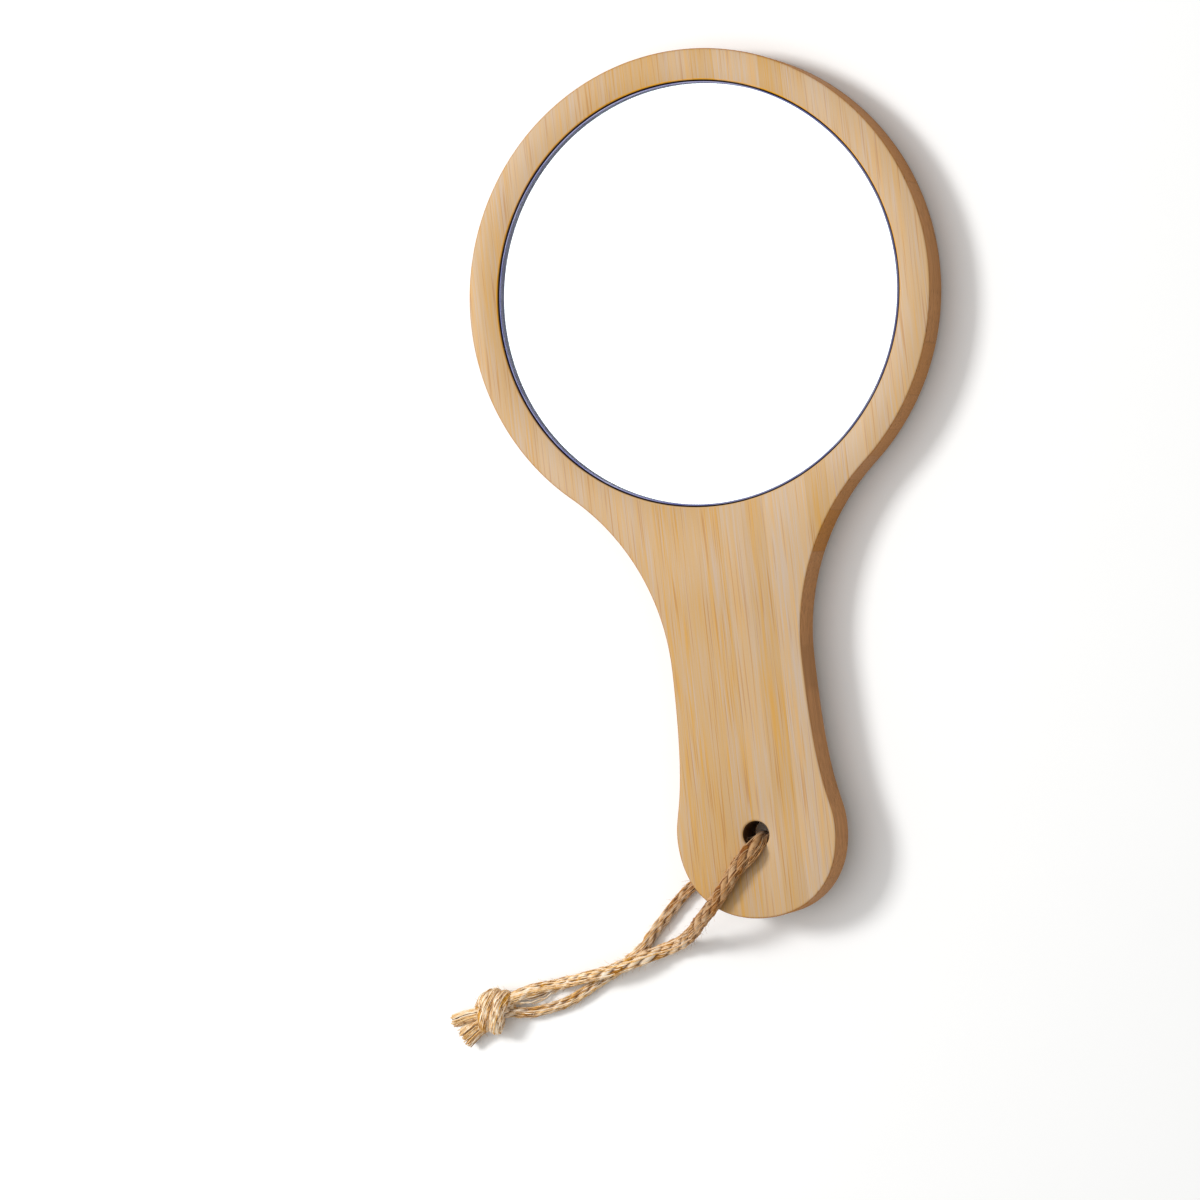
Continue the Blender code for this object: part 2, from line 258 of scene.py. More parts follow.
class StageSettings(bpy.types.PropertyGroup):
    floor: colour("Floor", "Colour of the pale floor", "#F7F7F6")
    sky: FloatProperty(name="Sky", description="Brightness of the room", default=0.46, min=0)
    softbox: FloatProperty(
        name="Softbox", description="Power of the large soft light", default=3.6, min=0,
        unit="POWER"
    )
    key: FloatProperty(
        name="Key", description="Power of the smaller key light", default=6.4, min=0, unit="POWER"
    )


def feed(node, inputs):
    """Sets a node's inputs, by name or in order: to a value, or by a link from a socket."""
    for key, value in inputs.items() if isinstance(inputs, dict) else enumerate(inputs):
        if isinstance(value, bpy.types.NodeSocket):
            node.id_data.links.new(value, node.inputs[key])
        else:
            node.inputs[key].default_value = value


def add_node(tree, kind, inputs=(), operation=None, **settings):
    """Adds a node with its inputs, operation and options, and gives its first output in use."""
    node = tree.nodes.new(kind)
    if operation:
        node.operation = operation
    for name, value in settings.items():
        setattr(node, name, value)
    feed(node, inputs)
    return next((o for o in node.outputs if o.enabled), None)


def new_material(name):
    """An empty material, a function that adds nodes to it, and its shader."""
    made = bpy.data.materials.new(name)
    made.use_nodes = True
    tree = made.node_tree
    return made, partial(add_node, tree), tree.nodes["Principled BSDF"]


def rgba(value):
    return (*value[:3], 1.0)


def board_place():
    """How the board lies: from its own axes, with z = 0 on its face, to the model's."""
    board = bpy.context.scene.mirror_board
    rise = bpy.context.scene.mirror_twine.diameter + LIFT_OVER_TWINE
    tilt = math.atan(rise / (board.head_radius + STRAND_TO_HEAD_CENTRE))
    turn = Euler((-tilt, 0, 0)).to_matrix().to_4x4()
    ends = [
        turn @ Vector((0, y, z))
        for y in (board.head_radius, -board.handle_drop) for z in (0, -board.thickness)
    ]
    middle = (min(e.y for e in ends) + max(e.y for e in ends)) / 2
    low = min(e.z for e in ends)
    return Matrix.Translation((0, -middle, -low)) @ turn


def link_object(name, mesh):
    made = bpy.data.objects.new(name, mesh)
    bpy.context.scene.collection.objects.link(made)
    return made


def mesh_from(made, name, matrix=None):
    """A mesh object from a bmesh, with its place put in its mesh."""
    if matrix is not None:
        made.transform(matrix)
    mesh = bpy.data.meshes.new(name)
    made.to_mesh(mesh)
    made.free()
    return link_object(name, mesh)


# ---------------------------------------------------------------- Geometry Nodes


def new_tree(name, sockets):
    """A Geometry Nodes tree, a function that adds nodes to it, and its named inputs."""
    tree = bpy.data.node_groups.new(name, "GeometryNodeTree")
    tree.interface.new_socket("Geometry", in_out="OUTPUT", socket_type="NodeSocketGeometry")
    for socket_name, kind, default in sockets:
        socket = tree.interface.new_socket(
            socket_name, in_out="INPUT", socket_type="NodeSocket" + kind
        )
        if default is not None:
            socket.default_value = default
    add = partial(add_node, tree)
    return tree, add, add("NodeGroupInput").node.outputs


def end_tree(add, geometry, material):
    """Realize Instances, Set Material and the output that every tree ends in."""
    whole = add("GeometryNodeRealizeInstances", {0: geometry})
    finished = add("GeometryNodeSetMaterial", {0: whole, "Material": material})
    add("NodeGroupOutput", {0: finished})


def run_tree(tree, obj, name, values):
    """Runs a tree on obj and returns what it makes as a plain mesh object of that name."""
    modifier = obj.modifiers.new(tree.name, "NODES")
    modifier.node_group = tree
    for socket in tree.interface.items_tree:
        if socket.in_out == "INPUT" and socket.name in values:
            modifier[socket.identifier] = values[socket.name]
    obj.update_tag()
    bpy.context.view_layer.update()
    evaluated = obj.evaluated_get(bpy.context.evaluated_depsgraph_get())
    mesh = bpy.data.meshes.new_from_object(evaluated)
    obj.modifiers.remove(modifier)
    if len(mesh.polygons) == 0:
        raise RuntimeError(f"{tree.name} made no faces for {name}")
    mesh.name = name
    return link_object(name, mesh)


def drop(obj):
    data = obj.data
    bpy.data.objects.remove(obj, do_unlink=True)
    bpy.data.meshes.remove(data)


def wind(add, given, count, fibres):
    """Copies of the route wound round it: the plies, or the fibres that lie on them."""
    path = add("GeometryNodeMeshToCurve", {"Mesh": given["Geometry"]})
    copies = add("GeometryNodeDuplicateElements", {
        "Geometry": path, "Amount": count
    }, domain="SPLINE")
    number = copies.node.outputs["Duplicate Index"]
    along, spread = (add(READ, {"Name": name}) for name in ("along", "spread"))
    normal = add("GeometryNodeInputNormal")
    tangent = add("GeometryNodeInputTangent")
    turns = add(MATH, (along, given["Lay Length"]), "DIVIDE")
    ply = add(MATH, (number, given["Plies"]), "DIVIDE")
    share = add(MATH, (ply, turns), "SUBTRACT")
    angle = add(MATH, (share, 2 * math.pi), "MULTIPLY")
    outward = add("ShaderNodeVectorRotate", {
        "Vector": normal, "Axis": tangent, "Angle": angle
    }, rotation_type="AXIS_ANGLE")
    reach = add(MATH, (given["Lay Radius"], spread), "MULTIPLY")
    offset = add(VECTOR_MATH, {0: outward, "Scale": reach}, "SCALE")
    mark = number
    if fibres:
        # A fibre turns round its ply against the lay, so that it ends up along the twine.
        start = add(RANDOM, {2: 0.0, 3: 1.0, "ID": number, "Seed": 17})
        off = add(RANDOM, {
            "Probability": LOOSE_SHARE, "ID": number, "Seed": 41
        }, data_type="BOOLEAN")
        held = add(MATH, (1.0, off), "SUBTRACT")
        pace = add(MATH, (held, 1.0, LOOSE_PACE), "MULTIPLY_ADD")
        spin = add(MATH, (turns, pace, start), "MULTIPLY_ADD")
        spin = add(MATH, (spin, 2 * math.pi), "MULTIPLY")
        aside = add("ShaderNodeVectorRotate", {
            "Vector": normal, "Axis": tangent, "Angle": spin
        }, rotation_type="AXIS_ANGLE")
        apart = add(MATH, (number, 5.3), "MULTIPLY")
        run = add(MATH, (along, 330.0), "MULTIPLY")
        spot = add("ShaderNodeCombineXYZ", {"X": apart, "Y": run})
        sway = add("ShaderNodeTexNoise", {"Vector": spot, "Scale": 1.0, "Detail": 1.0})
        lift = add(MAP_RANGE, {
            "Value": sway, "From Min": 0.25, "From Max": 0.75, "To Min": 0.88, "To Max": 1.22
        })
        far = add(MATH, (lift, given["Ply Radius"]), "MULTIPLY")
        wide = add(MATH, (given["Lay Radius"], LOOSE_REACH), "MULTIPLY")
        far = add(MATH, (off, wide, far), "MULTIPLY_ADD")
        offset = add(VECTOR_MATH, {0: offset, "Scale": held}, "SCALE")
        far = add(MATH, (far, spread), "MULTIPLY")
        beside = add(VECTOR_MATH, {0: aside, "Scale": far}, "SCALE")
        offset = add(VECTOR_MATH, (offset, beside), "ADD")
        mark = add(MATH, (number, FIRST_FIBRE_MARK), "ADD")
    kept = copies
    for name, value, kind in (
        ("centre", add("GeometryNodeInputPosition"), "FLOAT_VECTOR"),
        ("way", tangent, "FLOAT_VECTOR"),
        ("ply", mark, "FLOAT"),
    ):
        kept = add(STORE, {"Geometry": kept, "Name": name, "Value": value}, data_type=kind)
    laid = add("GeometryNodeSetPosition", {"Geometry": kept, "Offset": offset})
    return laid, number, spread


def twine_tree():
    """Plies wound round a route, with separate fibres laid over them."""
    tree, add, given = new_tree("twine_plies", [
        ("Geometry", "Geometry", None), ("Plies", "Int", 3), ("Ply Radius", "Float", 0.00074),
        ("Lay Radius", "Float", 0.00086), ("Lay Length", "Float", 0.0118),
        ("Fibre Relief", "Float", 0.0001), ("Ply Sides", "Int", 18), ("Fibres", "Int", 240),
        ("Fibre Radius", "Float", 0.00010), ("Material", "Material", None)
    ])
    plies, _, spread = wind(add, given, given["Plies"], fibres=False)
    ring = add("GeometryNodeCurvePrimitiveCircle", {
        "Resolution": given["Ply Sides"], "Radius": given["Ply Radius"]
    })
    swept = add("GeometryNodeCurveToMesh", {
        "Curve": plies, "Profile Curve": ring, "Scale": spread, "Fill Caps": True
    })
    place = add("GeometryNodeInputPosition")
    surface = add("GeometryNodeInputNormal")
    lumps = add("ShaderNodeTexNoise", {"Vector": place, "Scale": 1500.0, "Detail": 2.0})
    height = add(MAP_RANGE, {
        "Value": lumps, "From Min": 0.3, "From Max": 0.7, "To Min": -1.0, "To Max": 1.0
    })
    height = add(MATH, (height, given["Fibre Relief"]), "MULTIPLY")
    rise = add(VECTOR_MATH, {0: surface, "Scale": height}, "SCALE")
    raised = add("GeometryNodeSetPosition", {"Geometry": swept, "Offset": rise})

    fibres, number, _ = wind(add, given, given["Fibres"], fibres=True)
    first = add(RANDOM, {2: -0.25, 3: 0.95, "ID": number, "Seed": 23})
    long = add(RANDOM, {2: 0.18, 3: 0.50, "ID": number, "Seed": 29})
    last = add(MATH, (first, long), "ADD")
    trimmed = add("GeometryNodeTrimCurve", {"Curve": fibres, 2: first, 3: last})
    thick = add(RANDOM, {2: 0.55, 3: 1.45, "ID": number, "Seed": 11})
    strand = add("GeometryNodeCurvePrimitiveCircle", {
        "Resolution": 4, "Radius": given["Fibre Radius"]
    })
    hairs = add("GeometryNodeCurveToMesh", {
        "Curve": trimmed, "Profile Curve": strand, "Scale": thick, "Fill Caps": True
    })

    whole = add("GeometryNodeJoinGeometry", {0: raised})
    feed(whole.node, {0: hairs})
    # How far out the surface lies: 1 on the crest of a ply, less down in the grooves. The jute
    # material draws painted shade in the grooves from it.
    middle = add(READ, {"Name": "centre"}, data_type="FLOAT_VECTOR")
    out = add(VECTOR_MATH, (place, middle), "DISTANCE")
    full = add(MATH, (given["Lay Radius"], given["Ply Radius"]), "ADD")
    openness = add(MATH, (out, full), "DIVIDE")
    marked = add(STORE, {"Geometry": whole, "Name": "open", "Value": openness})
    smooth = add("GeometryNodeSetShadeSmooth", {"Geometry": marked})
    end_tree(add, smooth, given["Material"])
    return tree


def hair_tree():
    """Stray fibres that stand off the twine, lying roughly along it."""
    tree, add, given = new_tree("stray_fibres", [
        ("Geometry", "Geometry", None), ("Density", "Float", 400000.0), ("Length", "Float", 0.0022),
        ("Fibre Radius", "Float", 0.00003), ("Seed", "Int", 1), ("Material", "Material", None)
    ])
    spots = add("GeometryNodeDistributePointsOnFaces", {
        "Mesh": given["Geometry"], "Density": given["Density"], "Seed": given["Seed"]
    })
    bow = add(MATH, (given["Length"], 0.18), "MULTIPLY")
    reach = add(MATH, (given["Length"], 0.45), "MULTIPLY")
    lift = add(MATH, (given["Length"], 0.42), "MULTIPLY")
    middle = add("ShaderNodeCombineXYZ", {"X": reach, "Z": bow})
    tip = add("ShaderNodeCombineXYZ", {"X": given["Length"], "Y": bow, "Z": lift})
    hair = add("GeometryNodeCurveQuadraticBezier", {
        "Resolution": 5, "Start": (0, 0, 0), "Middle": middle, "End": tip
    })
    ring = add("GeometryNodeCurvePrimitiveCircle", {
        "Resolution": 3, "Radius": given["Fibre Radius"]
    })
    swept = add("GeometryNodeCurveToMesh", {
        "Curve": hair, "Profile Curve": ring, "Fill Caps": True
    })
    way = add(READ, {"Name": "way"}, data_type="FLOAT_VECTOR")
    turned = add("FunctionNodeAlignRotationToVector", {
        "Rotation": spots.node.outputs["Rotation"], "Factor": 1.0, "Vector": way
    }, axis="X", pivot_axis="Z")
    about = add(RANDOM, {2: -0.75, 3: 0.75, "Seed": given["Seed"]})
    turn = add("FunctionNodeAxisAngleToRotation", {"Axis": (0, 0, 1), "Angle": about})
    turned = add("FunctionNodeRotateRotation", {
        "Rotation": turned, "Rotate By": turn
    }, rotation_space="LOCAL")
    size = add(RANDOM, {
        0: (0.35, 0.5, 0.1), 1: (1.2, 1.1, 1.0), "Seed": 7
    }, data_type="FLOAT_VECTOR")
    placed = add("GeometryNodeInstanceOnPoints", {
        "Points": spots, "Instance": swept, "Rotation": turned, "Scale": size
    })
    end_tree(add, placed, given["Material"])
    return tree


def bundle_tree():
    """Loose fibres side by side along a route, as where twine has come undone."""
    tree, add, given = new_tree("fibre_bundle", [
        ("Geometry", "Geometry", None), ("Fibres", "Int", 60), ("Half Width", "Float", 0.0018),
        ("Flatness", "Float", 0.6), ("Fibre Radius", "Float", 0.00018),
        ("Waviness", "Float", 0.0002), ("Ragged", "Float", 0.08), ("Seed", "Int", 1),
        ("Material", "Material", None)
    ])
    path = add("GeometryNodeMeshToCurve", {"Mesh": given["Geometry"]})
    level = add("GeometryNodeSetCurveNormal", {"Curve": path}, mode="Z_UP")
    copies = add("GeometryNodeDuplicateElements", {
        "Geometry": level, "Amount": given["Fibres"]
    }, domain="SPLINE")
    number = copies.node.outputs["Duplicate Index"]
    along = add(READ, {"Name": "along"})
    spread = add(READ, {"Name": "spread"})
    out = add(RANDOM, {2: 0.0, 3: 1.0, "ID": number, "Seed": given["Seed"]})
    round_ = add(RANDOM, {2: 0.0, 3: 2 * math.pi, "ID": number, "Seed": 31})
    far = add(MATH, (out, 0.5), "POWER")
    far = add(MATH, (far, spread), "MULTIPLY")
    far = add(MATH, (far, given["Half Width"]), "MULTIPLY")
    side = add(MATH, {0: round_}, "COSINE")
    up = add(MATH, {0: round_}, "SINE")
    side = add(MATH, (side, far), "MULTIPLY")
    up = add(MATH, (up, far), "MULTIPLY")
    up = add(MATH, (up, given["Flatness"]), "MULTIPLY")
    normal = add("GeometryNodeInputNormal")
    tangent = add("GeometryNodeInputTangent")
    across = add(VECTOR_MATH, (tangent, normal), "CROSS_PRODUCT")
    sideways = add(VECTOR_MATH, {0: normal, "Scale": side}, "SCALE")
    upwards = add(VECTOR_MATH, {0: across, "Scale": up}, "SCALE")
    offset = add(VECTOR_MATH, (sideways, upwards), "ADD")
    apart = add(MATH, (number, 3.7), "MULTIPLY")
    run = add(MATH, (along, 420.0), "MULTIPLY")
    spot = add("ShaderNodeCombineXYZ", {"X": apart, "Y": run})
    sway = add("ShaderNodeTexNoise", {"Vector": spot, "Scale": 1.0, "Detail": 1.0})
    sway = add(VECTOR_MATH, (sway.node.outputs["Color"], (0.5, 0.5, 0.5)), "SUBTRACT")
    sway = add(VECTOR_MATH, {0: sway, "Scale": given["Waviness"]}, "SCALE")
    sway = add(VECTOR_MATH, {0: sway, "Scale": 4.0}, "SCALE")
    offset = add(VECTOR_MATH, (offset, sway), "ADD")
    kept = add(STORE, {"Geometry": copies, "Name": "ply", "Value": number})
    kept = add(STORE, {"Geometry": kept, "Name": "way", "Value": tangent}, data_type="FLOAT_VECTOR")
    laid = add("GeometryNodeSetPosition", {"Geometry": kept, "Offset": offset})
    cut = add(RANDOM, {2: 0.0, 3: 1.0, "ID": number, "Seed": 53})
    cut = add(MATH, (cut, given["Ragged"]), "MULTIPLY")
    cut = add(MATH, (1.0, cut), "SUBTRACT")
    trimmed = add("GeometryNodeTrimCurve", {"Curve": laid, 2: 0.0, 3: cut})
    ring = add("GeometryNodeCurvePrimitiveCircle", {
        "Resolution": 6, "Radius": given["Fibre Radius"]
    })
    thick = add(RANDOM, {2: 0.5, 3: 1.5, "ID": number, "Seed": 11})
    thick = add(STORE, {"Geometry": trimmed, "Name": "thick", "Value": thick}, domain="CURVE")
    thickness = add(READ, {"Name": "thick"})
    swept = add("GeometryNodeCurveToMesh", {
        "Curve": thick, "Profile Curve": ring, "Scale": thickness, "Fill Caps": True
    })
    smooth = add("GeometryNodeSetShadeSmooth", {"Geometry": swept})
    end_tree(add, smooth, given["Material"])
    return tree


def plate_tree():
    """A round glass plate whose two edges are seamed to a narrow flat."""
    tree, add, given = new_tree("round_plate", [
        ("Geometry", "Geometry", None), ("Radius", "Float", 0.05), ("Thickness", "Float", 0.003),
        ("Arris", "Float", 0.0003), ("Sides", "Int", 288), ("Material", "Material", None),
        ("Edge Material", "Material", None)
    ])
    twice = add(MATH, (given["Arris"], 2.0), "MULTIPLY")
    band = add(MATH, (given["Thickness"], twice), "SUBTRACT")
    body = add("GeometryNodeMeshCylinder", {
        "Vertices": given["Sides"], "Radius": given["Radius"], "Depth": band
    })
    inner = add(MATH, (given["Radius"], given["Arris"]), "SUBTRACT")
    shrink = add(MATH, (inner, given["Radius"]), "DIVIDE")
    size = add("ShaderNodeCombineXYZ", {"X": shrink, "Y": shrink, "Z": 1.0})
    upper = add("GeometryNodeExtrudeMesh", {
        "Mesh": body, "Selection": body.node.outputs["Top"], "Offset Scale": given["Arris"]
    })
    lower = add("GeometryNodeExtrudeMesh", {
        "Mesh": upper, "Selection": body.node.outputs["Bottom"], "Offset Scale": given["Arris"]
    })
    flats = add(
        "FunctionNodeBooleanMath", (upper.node.outputs["Top"], lower.node.outputs["Top"]), "OR"
    )
    place = add("GeometryNodeInputPosition")
    drawn_in = add(VECTOR_MATH, (place, size), "MULTIPLY")
    seamed = add("GeometryNodeSetPosition", {
        "Geometry": lower, "Selection": flats, "Position": drawn_in
    })
    whole = add("GeometryNodeRealizeInstances", {0: seamed})
    clear = add("GeometryNodeSetMaterial", {"Geometry": whole, "Material": given["Material"]})
    edges = add("FunctionNodeBooleanMath", {0: flats}, "NOT")
    finished = add("GeometryNodeSetMaterial", {
        "Geometry": clear, "Selection": edges, "Material": given["Edge Material"]
    })
    add("NodeGroupOutput", {0: finished})
    return tree


# ---------------------------------------------------------------- materials


def bamboo(name, shades, streak, roughness, relief, specular=0.35, unlike=1.0):
    """Glued bamboo strips: long fibres, in strips that each have their own shade.

    shades are the pale, general and golden fibre, streak the colour and the strength of the
    narrow dark ones, unlike how much the strips differ. Across an end the fibres show as dots.
    """
    made, add, shader = new_material(name)
    place = board_place()
    at = add("ShaderNodeTexCoord").node.outputs["Object"]
    # Millimetres in the board's own axes, so that the fibres run along the board.
    board = add("ShaderNodeMapping", {
        "Vector": at, "Location": place.to_translation(), "Rotation": place.to_euler(),
        "Scale": (MM, MM, MM)
    }, vector_type="TEXTURE")
    parts = add("ShaderNodeSeparateXYZ", {0: board})
    strip = add(MATH, (parts.node.outputs["X"], STRIP_WIDTH), "DIVIDE")
    strip = add(MATH, {0: strip}, "FLOOR")
    chance = add("ShaderNodeTexWhiteNoise", {"W": strip}, noise_dimensions="1D")
    shift = add(VECTOR_MATH, {0: chance.node.outputs["Color"], "Scale": 300.0}, "SCALE")
    apart = add(VECTOR_MATH, (board, shift), "ADD")
    # Fibre bundles 0.25 mm wide and 14 mm long, in drifts 0.6 mm and 1.7 mm wide, and dark ones.
    layers = []
    for width, long, detail in ((4.0, 0.070, 1.0), (1.7, 0.040, 1.0), (0.6, 0.018, 0.0),
                                (3.4, 0.050, 0.0)):
        drawn = add(VECTOR_MATH, (apart, (width, long, width)), "MULTIPLY")
        layers.append(add("ShaderNodeTexNoise", {"Vector": drawn, "Scale": 1.0, "Detail": detail}))
    fine_noise, drift_noise, band_noise, dark_noise = layers
    mixed = add(MATH, (drift_noise, 0.7, fine_noise), "MULTIPLY_ADD")
    mixed = add(MATH, (band_noise, 0.4, mixed), "MULTIPLY_ADD")
    # Some strips are nearly plain, others strongly streaked.
    contrast = add("ShaderNodeSeparateColor", {"Color": chance.node.outputs["Color"]})
    half = add(MAP_RANGE, {"Value": contrast.node.outputs["Blue"], "To Min": 0.62, "To Max": 0.28})
    lowest = add(MATH, (1.05, half), "SUBTRACT")
    highest = add(MATH, (1.05, half), "ADD")
    mixed = add(MAP_RANGE, {"Value": mixed, "From Min": lowest, "From Max": highest})
    ramp = add("ShaderNodeValToRGB", {"Fac": mixed})
    stops = ramp.node.color_ramp.elements
    stops[0].position, stops[1].position = 0.12, 0.92
    stops[0].color, stops[1].color = rgba(shades[0]), rgba(shades[2])
    stops.new(0.50).color = rgba(shades[1])
    line = add(MAP_RANGE, {
        "Value": dark_noise, "From Min": 0.64, "From Max": 0.74, "To Max": streak[1]
    })
    streaked = add("ShaderNodeMix", {0: line, 6: ramp, 7: rgba(streak[0])}, data_type="RGBA")
    shade = add(MAP_RANGE, {
        "Value": chance, "To Min": 1 - 0.035 * unlike, "To Max": 1 + 0.03 * unlike
    })
    depth = add(MAP_RANGE, {
        "Value": chance, "To Min": 1 + 0.12 * unlike, "To Max": 1 - 0.12 * unlike
    })
    toned = add("ShaderNodeHueSaturation", {"Saturation": depth, "Value": shade, "Color": streaked})
    # Glue lines between the strips, drawn 0.16 mm wide: finer ones would not show.
    within = add(MATH, (parts.node.outputs["X"], STRIP_WIDTH), "DIVIDE")
    within = add(MATH, {0: within}, "FRACT")
    within = add(MATH, (within, 0.5), "SUBTRACT")
    within = add(MATH, {0: within}, "ABSOLUTE")
    glue = add(MAP_RANGE, {
        "Value": within, "From Min": 0.483, "From Max": 0.490, "To Max": 0.10 + 0.25 * (1 - unlike)
    })
    glued = add("ShaderNodeMix", {
        0: glue, 6: toned, 7: rgba(Vector(shades[1]) * 0.45)
    }, data_type="RGBA")
    gloss = add(MAP_RANGE, {
        "Value": fine_noise, "To Min": roughness - 0.08, "To Max": roughness + 0.08
    })
    bump = add("ShaderNodeBump", {"Strength": 0.35, "Distance": relief, "Height": mixed})
    feed(shader, {
        "Base Color": glued, "Roughness": gloss, "Normal": bump, "IOR": 1.50,
        "Specular IOR Level": specular
    })
    return made


def bamboo_planed():
    """Bamboo strips planed and oiled: smooth, warm tan with fine streaks and a soft sheen."""
    board = bpy.context.scene.mirror_board
    shades = (board.pale, board.tan, board.gold)
    return bamboo("bamboo_planed_oiled", shades, (board.amber, 0.55), 0.48, 0.03 * MM)


def bamboo_routed():
    """The same strips cut by a router: open fibres, browner and duller than the face, and partly
    darkened by painted shade of the side walls.
    """
    board = bpy.context.scene.mirror_board
    edge = Vector(board.edge)
    shades = (edge * 1.12, edge, edge * 0.86)
    return bamboo("bamboo_routed_edge", shades, (edge * 0.55, 0.7), 0.62, 0.06 * MM, 0.12, 0.5)


def bamboo_lip():
    """The recess's eased lip, drawn deep yellow as a painted highlight, fading to pale tan by the
    handle.
    """
    board = bpy.context.scene.mirror_board
    lip, tan = Vector(board.lip), Vector(board.tan)
    made = bamboo("bamboo_oiled_lip", (lip * 0.9, lip, lip * 1.1), (lip * 0.6, 0.5), 0.5, 0.03 * MM)
    tree = made.node_tree
    add = partial(add_node, tree)
    place = add("ShaderNodeSeparateXYZ", {0: tree.nodes["Mapping"].outputs[0]}).node.outputs["Y"]
    # The painted highlight fades out towards the handle.
    low = add(MAP_RANGE, {"Value": place, "From Min": 5.0, "From Max": -30.0, "To Max": 0.85})
    shader = tree.nodes["Principled BSDF"]
    faded = add("ShaderNodeMix", {
        0: low, 6: shader.inputs["Base Color"].links[0].from_socket, 7: rgba(tan * 1.1)
    }, data_type="RGBA")
    feed(shader, {"Base Color": faded})
    return made


def bamboo_shaded_cut():
    """The recess and the hole, their cut walls drawn dark brown: painted shade of these deep cuts.
    """
    board = bpy.context.scene.mirror_board
    edge = Vector(board.edge)
    shades = (edge * 0.25, edge * 0.19, edge * 0.13)
    return bamboo("bamboo_scorched_cut", shades, (edge * 0.1, 0.8), 0.72, 0.05 * MM)


def float_glass():
    """Clear float glass, polished by its own making: sharp reflections, a trace of green."""
    made, add, shader = new_material("float_glass_clear")
    feed(shader, {
        "Base Color": rgba(bpy.context.scene.mirror_glass.tint), "Roughness": 0.0, "IOR": 1.52,
        "Transmission Weight": 1.0
    })
    return made


def seamed_edge():
    """The glass's edge, seamed with a belt: ground matt. Its violet, which the edge shows through
    the glass, is a painted reflection.
    """
    made, add, shader = new_material("glass_ground_edge")
    seam = bpy.context.scene.mirror_glass.seam
    at = add("ShaderNodeTexCoord").node.outputs["Object"]
    # Belt marks run round the edge; drawn 0.3 mm apart, coarser than real so that they show.
    round_edge = add(VECTOR_MATH, (at, (90.0, 90.0, 2800.0)), "MULTIPLY")
    grit = add("ShaderNodeTexNoise", {
        "Vector": round_edge, "Scale": 1.0, "Detail": 3.0, "Roughness": 0.7
    })
    ramp = add("ShaderNodeValToRGB", {"Fac": grit})
    ramp.node.color_ramp.elements[0].position = 0.35
    ramp.node.color_ramp.elements[1].position = 0.72
    ramp.node.color_ramp.elements[0].color = rgba(seam)
    ramp.node.color_ramp.elements[1].color = rgba(Vector(seam) * 0.4 + Vector((0.5, 0.5, 0.6)))
    feed(shader, {"Base Color": ramp, "Roughness": 0.6, "IOR": 1.52})
    return made


def silver_coat():
    """Silver laid on the glass by wet coating: a perfect mirror, nearly white."""
    made, add, shader = new_material("silver_wet_coated")
    feed(shader, {
        "Base Color": rgba(bpy.context.scene.mirror_glass.silver), "Metallic": 1.0, "Roughness": 0.0
    })
    return made


def backing_paint():
    """Grey curtain-coated paint behind the silver, with a faint orange peel."""
    made, add, shader = new_material("backing_paint_coated")
    paint = bpy.context.scene.mirror_glass.paint
    at = add("ShaderNodeTexCoord").node.outputs["Object"]
    peel = add("ShaderNodeTexNoise", {"Vector": at, "Scale": 600.0, "Detail": 2.0})
    ramp = add("ShaderNodeValToRGB", {"Fac": peel})
    ramp.node.color_ramp.elements[0].color = rgba(Vector(paint) * 0.9)
    ramp.node.color_ramp.elements[1].color = rgba(Vector(paint) * 1.1)
    bump = add("ShaderNodeBump", {"Strength": 0.2, "Distance": 0.05 * MM, "Height": peel})
    feed(shader, {"Base Color": ramp, "Normal": bump, "Roughness": 0.5})
    return made


def foam_tape():
    """White closed-cell polyethylene foam, cut: matt, pitted by cells 0.5 mm across."""
    made, add, shader = new_material("foam_closed_cell")
    at = add("ShaderNodeTexCoord").node.outputs["Object"]
    cells = add("ShaderNodeTexVoronoi", {"Vector": at, "Scale": 2000.0})
    ramp = add("ShaderNodeValToRGB", {"Fac": cells})
    ramp.node.color_ramp.elements[0].color = rgba(linear("#C9C8C0"))
    ramp.node.color_ramp.elements[1].color = rgba(linear("#ECEBE4"))
    bump = add("ShaderNodeBump", {"Strength": 0.5, "Distance": 0.1 * MM, "Height": cells})
    feed(shader, {"Base Color": ramp, "Normal": bump, "Roughness": 0.8})
    return made


